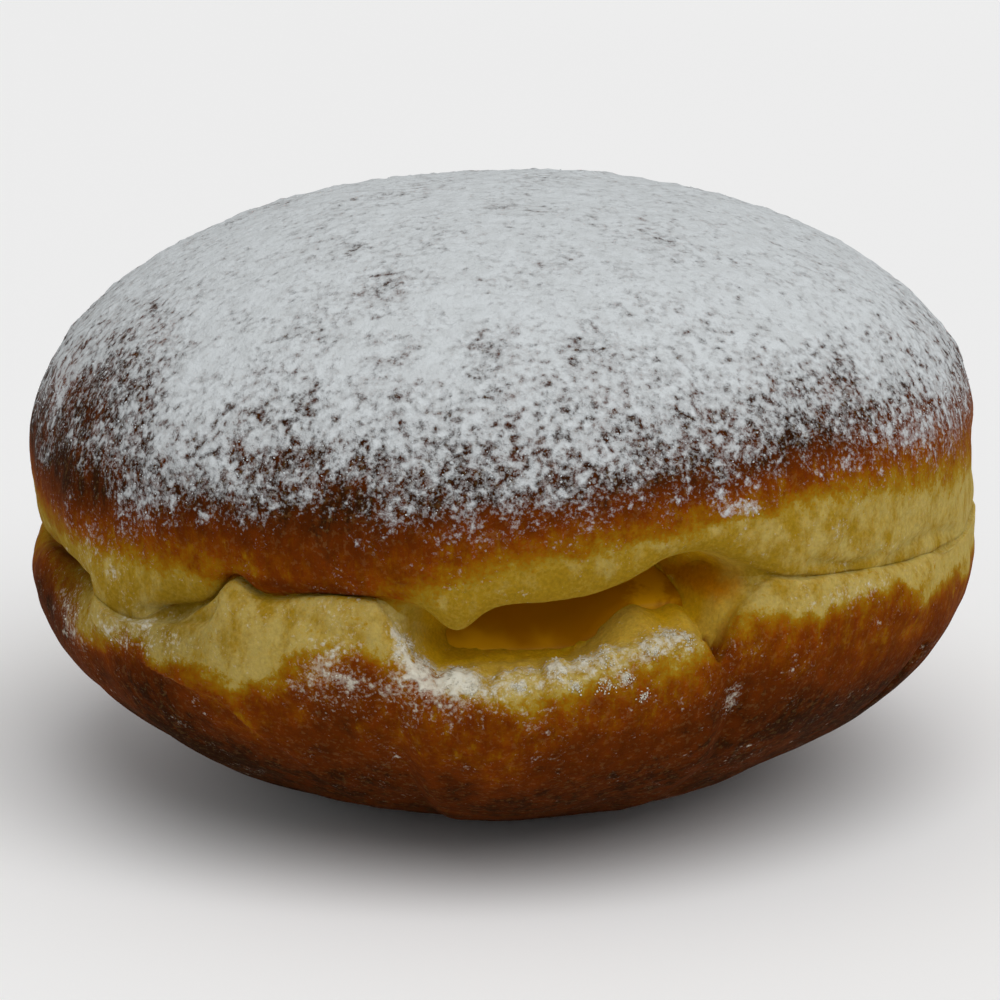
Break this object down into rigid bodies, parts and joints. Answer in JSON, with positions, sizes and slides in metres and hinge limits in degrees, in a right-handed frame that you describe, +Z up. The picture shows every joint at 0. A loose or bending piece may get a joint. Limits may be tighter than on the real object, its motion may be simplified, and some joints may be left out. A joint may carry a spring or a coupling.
{
  "type": "jelly filled doughnut",
  "caption": "Tall round doughnut with a fold line round its middle, a torn mouth at the front and amber jelly showing inside it.",
  "frame": {"origin": "middle of the bun's footprint, on the surface it rests on", "axes": "+Z up; -Y out through the torn mouth at the front; +X to the right seen from the front"},
  "size_m": [0.0904, 0.0905, 0.057],
  "materials": {
    "dough": "fried yeast dough: dark brown crust above and below, pale yellow band between, powdered sugar on top",
    "jelly": "smooth wet amber jelly"
  },
  "bodies": {
    "root": {"dough": "dough", "jelly": "jelly"}
  },
  "joints": []
}
